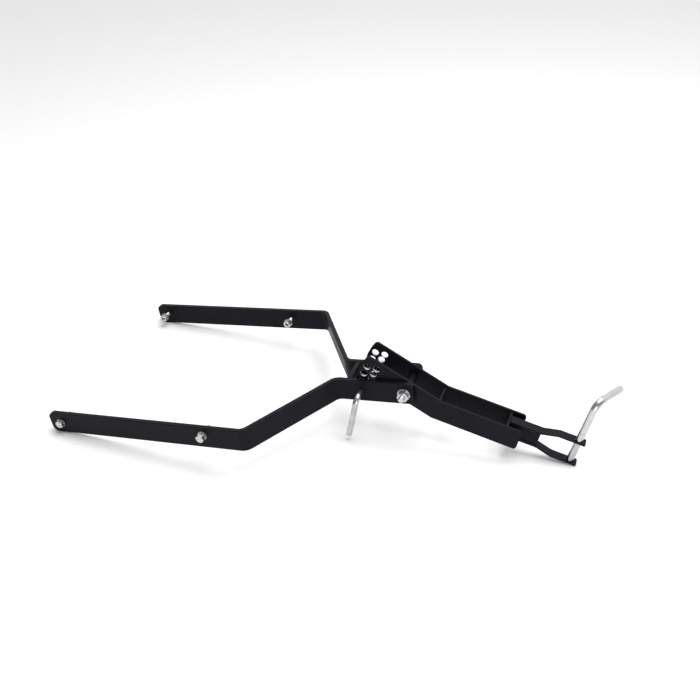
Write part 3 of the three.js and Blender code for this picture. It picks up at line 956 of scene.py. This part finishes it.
class StandNuts(bpy.types.Operator):
    """Hexagon nuts on the clamp bolts and the pivot bolt"""

    bl_idname = "stand.nuts"
    bl_label = "Nuts"

    def execute(self, context):
        sizes = context.scene.stand_fasteners
        nuts = {"pivot_nut": (sizes.pivot_flats, sizes.pivot_bolt, PIVOT_NUT_TURN)}
        for place, spin in zip(CLAMPS, CLAMP_NUT_TURNS):
            nuts[f"{place}_nut"] = (sizes.arm_flats, sizes.arm_bolt, spin)
        for node, (flats, bolt, spin) in nuts.items():
            middle, low, high = node_axis(node)
            height = high - low
            nut = crowned_hexagon(f"{node}_hexagon", flats, height, both_ends=True)
            bore = cylinder("bore", bolt / 2 - 0.3 * MM, Z * -height, Z * 2 * height)
            combine(nut, bore)
            soften(nut, 0.18 * MM, segments=2, limit=24)
            turn = along_y(LEFT) @ Matrix.Rotation(math.radians(spin), 3, "Z")
            set_down(nut, Vector((middle.x, low, middle.z)), turn)
            hand_over(nut, "zinc_fasteners", "frame", node)
        return {"FINISHED"}


class StandWashers(bpy.types.Operator):
    """Flat washers on the clamp bolts and the pivot bolt"""

    bl_idname = "stand.washers"
    bl_label = "Washers"

    def execute(self, context):
        sizes = context.scene.stand_fasteners
        washers = {}
        for side in ("left", "right"):
            washers[f"pivot_washer_{side}"] = (sizes.pivot_washer, sizes.pivot_bolt)
        for place in CLAMPS:
            washers[f"{place}_washer"] = (sizes.arm_washer, sizes.arm_bolt)
        for node, (outer, bolt) in washers.items():
            middle, low, high = node_axis(node)
            washer = tube(f"{node}_ring", outer / 2, bolt / 2 + 0.25 * MM, (high - low) / 2, 0.3 * MM)
            set_down(washer, middle, Matrix.Identity(3))
            hand_over(washer, "zinc_fasteners", "frame", node)
        return {"FINISHED"}


# ---------- the two bent pins ----------
def bent_pin(name, diameter, points, radius, rounding):
    """A round bar through three points, bent at the middle one, its ends rounded."""
    start, corner, end = points
    into, out = (corner - start).normalized(), (end - corner).normalized()
    turn = into.angle(out)
    used = radius * math.tan(turn / 2)
    side = (out - into * into.dot(out)).normalized()
    pin = add(
        name, bpy.ops.mesh.primitive_circle_add, vertices=ROD_SIDES, radius=diameter / 2, fill_type="NGON",
        location=start, rotation=into.to_track_quat("Z", "Y").to_euler(),
    )
    apply_place(pin)
    runs = [((corner - start).length - used, (turn, radius)), ((end - corner).length - used, None)]
    with Editing(pin) as edit:
        edit.everything()
        run_along(start, into, side, runs)
        edit.face_outwards()
        edit.choose("faces", lambda face: len(face.verts) > 4)
        bpy.ops.mesh.region_to_loop()
        bpy.ops.mesh.bevel(offset=rounding, segments=5, affect="EDGES", clamp_overlap=False)
    shade_by_angle(pin)
    return pin


class StandHitchPin(bpy.types.Operator):
    """Bent hitch pin that stands through both straps of the fork"""

    bl_idname = "stand.hitch_pin"
    bl_label = "Hitch Pin"

    def execute(self, context):
        pins, fork = context.scene.stand_pins, context.scene.stand_fork
        corner = Vector((fork.pin_place, 0, pins.hitch_bend_up))
        foot = -fork.axis_drop - fork.tip_half - fork.strap_thickness / 2 - 1 * MM
        reach = Vector((math.cos(pins.hitch_turn), math.sin(pins.hitch_turn), 0)) * pins.hitch_handle
        points = (Vector((fork.pin_place, 0, foot)), corner, corner + reach)
        pin = bent_pin("bent_hitch_pin", pins.hitch_diameter, points, pins.hitch_bend, pins.end_rounding)
        set_down(pin, PIVOT, tilted(BEAM_TILT))
        hand_over(pin, "bright_pins", "hitch_pin", "hitch_pin")
        return {"FINISHED"}


class StandLockPin(bpy.types.Operator):
    """Bent lock pin through the right arm"""

    bl_idname = "stand.lock_pin"
    bl_label = "Lock Pin"

    def execute(self, context):
        pins, arms = context.scene.stand_pins, context.scene.stand_arms
        place = X * -context.scene.stand_beam.outer_row
        tip = arms.inner_reach - arms.bar_thickness / 2 + 0.3 * MM
        bend = arms.inner_reach + arms.bar_thickness / 2 + pins.lock_outside
        corner = place - Y * bend
        reach = Vector((-math.sin(pins.lock_lean), 0, -math.cos(pins.lock_lean))) * pins.lock_handle
        points = (place - Y * tip, corner, corner + reach)
        pin = bent_pin("bent_lock_pin", pins.lock_diameter, points, pins.lock_bend, pins.end_rounding)
        set_down(pin, PIVOT, tilted(ARM_TILT))
        hand_over(pin, "bright_pins", "lock_pin", "lock_pin")
        return {"FINISHED"}


# ---------- welds ----------
RIPPLE = 1.7 * MM  # length of one ripple of a weld bead


def weld_bead(name, start, end, radius):
    """A rippled bead from start to end: each ripple swells quickly and falls away slowly."""
    line = end - start
    count = max(3, round(line.length / RIPPLE))
    step = line / (3 * count)
    bead = add(
        name, bpy.ops.mesh.primitive_circle_add, vertices=12, radius=radius * 0.5, fill_type="NGON",
        location=start, rotation=line.to_track_quat("Z", "Y").to_euler(),
    )
    apply_place(bead)
    size, place = 0.5, start
    with Editing(bead) as edit:
        edit.everything()
        for ripple in range(count):
            for wanted in (1.0, 0.94, 0.8):
                wanted = 0.5 if ripple == count - 1 and wanted == 0.8 else wanted
                extrude(step)
                place = place + step
                bpy.ops.transform.resize(value=(wanted / size,) * 3, center_override=place)
                size = wanted
        edit.face_outwards()
    shade_by_angle(bead, 60)
    return bead


class StandWelds(bpy.types.Operator):
    """Painted fillet welds at the cross-member, the bulkheads and the fork's root"""

    bl_idname = "stand.welds"
    bl_label = "Welds"

    def execute(self, context):
        arms, beam, fork = context.scene.stand_arms, context.scene.stand_beam, context.scene.stand_fork
        self.upright_welds(
            "cross_member_welds", "frame", 2.4 * MM,
            [-arms.yoke_place + way * arms.yoke_thickness / 2 for way in (-1, 1)],
            arms.inner_reach - arms.bar_thickness / 2,
            (-arms.bar_height / 2 + 3 * MM, arms.bar_height / 2 - 3 * MM),
        )
        for node, start in BULKHEADS.items():
            self.upright_welds(
                f"{node}_welds", "beam", 1.8 * MM, [start, start + beam.plate],
                beam.width / 2 - beam.plate,
                (-beam.tail_bottom + 2 * BULKHEAD_DROP, beam.tail_top - 2 * BULKHEAD_DROP),
            )
        beads = []
        for way in (-1, 1):
            for side in (RIGHT, LEFT):
                up = -fork.axis_drop + way * (fork.root_half - fork.strap_thickness / 2)
                start = Vector((BULKHEADS["rear_bulkhead"] + beam.plate, side * fork.block_width / 2, up))
                end = Vector((fork.block_end - 1.5 * MM, start.y, up))
                beads.append(weld_bead("bead", start, end, 1.7 * MM))
        place_coated(join("fork_root_welds", *beads), "beam")
        return {"FINISHED"}

    def upright_welds(self, name, body, radius, places, half_width, span):
        """Beads that stand in the corners between a cross plate and the two walls beside it."""
        beads = []
        for x in places:
            for side in (RIGHT, LEFT):
                foot, top = (Vector((x, side * half_width, z)) for z in span)
                beads.append(weld_bead("bead", foot, top, radius))
        place_coated(join(name, *beads), body)


# ---------- studio ----------
CAMERA_PLACE = Vector((0.44687, -1.10292, 0.95386))
CAMERA_TURN = (55.6595, 1.6614, 19.6898)  # degrees about X, Y and Z
CAMERA_LENS = 44.0  # millimetres
CAMERA_FRAME = 36.0  # millimetres
FLOOR_SIZE = 12.0  # metres

# name, place, aimed at, size and power of each soft light
LIGHTS = [
    ("overhead", (0.5, 0.2, 2.4), (0.1, 0.0, 0.0), 2.0, 46.0),
    ("low_front", (0.6, -0.9, 0.25), (0.25, 0.0, 0.05), 0.5, 3.0),
]
# brightness of the surroundings: towards the bright window behind and above, and away from it
WINDOW = (0.25, 0.75, 0.6)
SKY = ((0.30, 0.28), (0.62, 1.0))
SKY_STRENGTH = 1.28


class StandStudio(bpy.types.Operator):
    """Plain pale floor, soft lights and the camera"""

    bl_idname = "stand.studio"
    bl_label = "Studio"

    def execute(self, context):
        grid = {"x_subdivisions": 2, "y_subdivisions": 2, "size": FLOOR_SIZE}
        floor = add("studio_floor", bpy.ops.mesh.primitive_grid_add, **grid)
        floor.location.z = -0.3 * MM
        paper = Finish("studio paper", **{"Roughness": 0.9, "Specular IOR Level": 0.1})
        shade = context.scene.stand_finishes.floor
        fibres = paper.noise(20 * MM, detail=3.0)
        paper.feed(Base_Color=paper.blend(fibres, shade, tuple(0.985 * value for value in shade)))
        floor.data.materials.append(paper.owner)
        for name, place, aim, size, power in LIGHTS:
            bpy.ops.object.light_add(type="AREA", location=place)
            light = context.object
            light.name = name
            light.data.shape, light.data.size, light.data.energy = "DISK", size, power
            light.visible_camera = False
            light.rotation_euler = (Vector(aim) - Vector(place)).to_track_quat("-Z", "Y").to_euler()
        context.scene.world = self.surroundings()
        context.scene.view_settings.view_transform = "Standard"
        turn = [math.radians(degrees) for degrees in CAMERA_TURN]
        bpy.ops.object.camera_add(location=CAMERA_PLACE, rotation=turn)
        camera = context.object
        camera.data.lens, camera.data.sensor_width = CAMERA_LENS, CAMERA_FRAME
        camera.data.clip_start, camera.data.clip_end = 0.01, 50.0
        context.scene.camera = camera
        return {"FINISHED"}

    def surroundings(self):
        """A world that is brightest towards the window."""
        room = Shading(bpy.data.worlds.new("studio"))
        heading = room.node("ShaderNodeTexCoord").outputs["Generated"]
        window = Vector(WINDOW).normalized()
        towards = room.node("ShaderNodeVectorMath", {"operation": "DOT_PRODUCT"}, {0: heading, 1: window})
        shades = room.node("ShaderNodeValToRGB", {"stops": SKY}, {"Fac": towards.outputs["Value"]})
        light = {"Color": shades.outputs["Color"], "Strength": SKY_STRENGTH}
        sky = room.node("ShaderNodeBackground", inputs=light)
        room.node("ShaderNodeOutputWorld", inputs={"Surface": sky.outputs[0]})
        return room.owner


# ---------- add-on ----------
OPERATORS = [
    StandStudio,
    StandArms,
    StandCrossMember,
    StandSidePlates,
    StandBulkheads,
    StandSleeve,
    StandFork,
    StandBolts,
    StandNuts,
    StandWashers,
    StandHitchPin,
    StandLockPin,
    StandWelds,
]


class StandPanel(bpy.types.Panel):
    """Buttons for the stand's pieces, and their sizes and colours"""

    bl_idname = "VIEW3D_PT_stand_frame"
    bl_label = "Stand Frame"
    bl_space_type = "VIEW_3D"
    bl_region_type = "UI"
    bl_category = "Stand Frame"

    def draw(self, context):
        for operator in OPERATORS:
            self.layout.operator(operator.bl_idname)
        for setting, group in SETTINGS.items():
            box = self.layout.box()
            for name in group.__annotations__:
                box.prop(getattr(context.scene, setting), name)


CLASSES = [*SETTINGS.values(), *OPERATORS, StandPanel]


def register():
    for each in CLASSES:
        bpy.utils.register_class(each)
    for setting, group in SETTINGS.items():
        setattr(bpy.types.Scene, setting, PointerProperty(type=group))


def unregister():
    for setting in SETTINGS:
        delattr(bpy.types.Scene, setting)
    for each in reversed(CLASSES):
        bpy.utils.unregister_class(each)


def main():
    register()
    for operator in OPERATORS:
        group, name = operator.bl_idname.split(".")
        getattr(getattr(bpy.ops, group), name)()


if __name__ == "__main__":
    main()
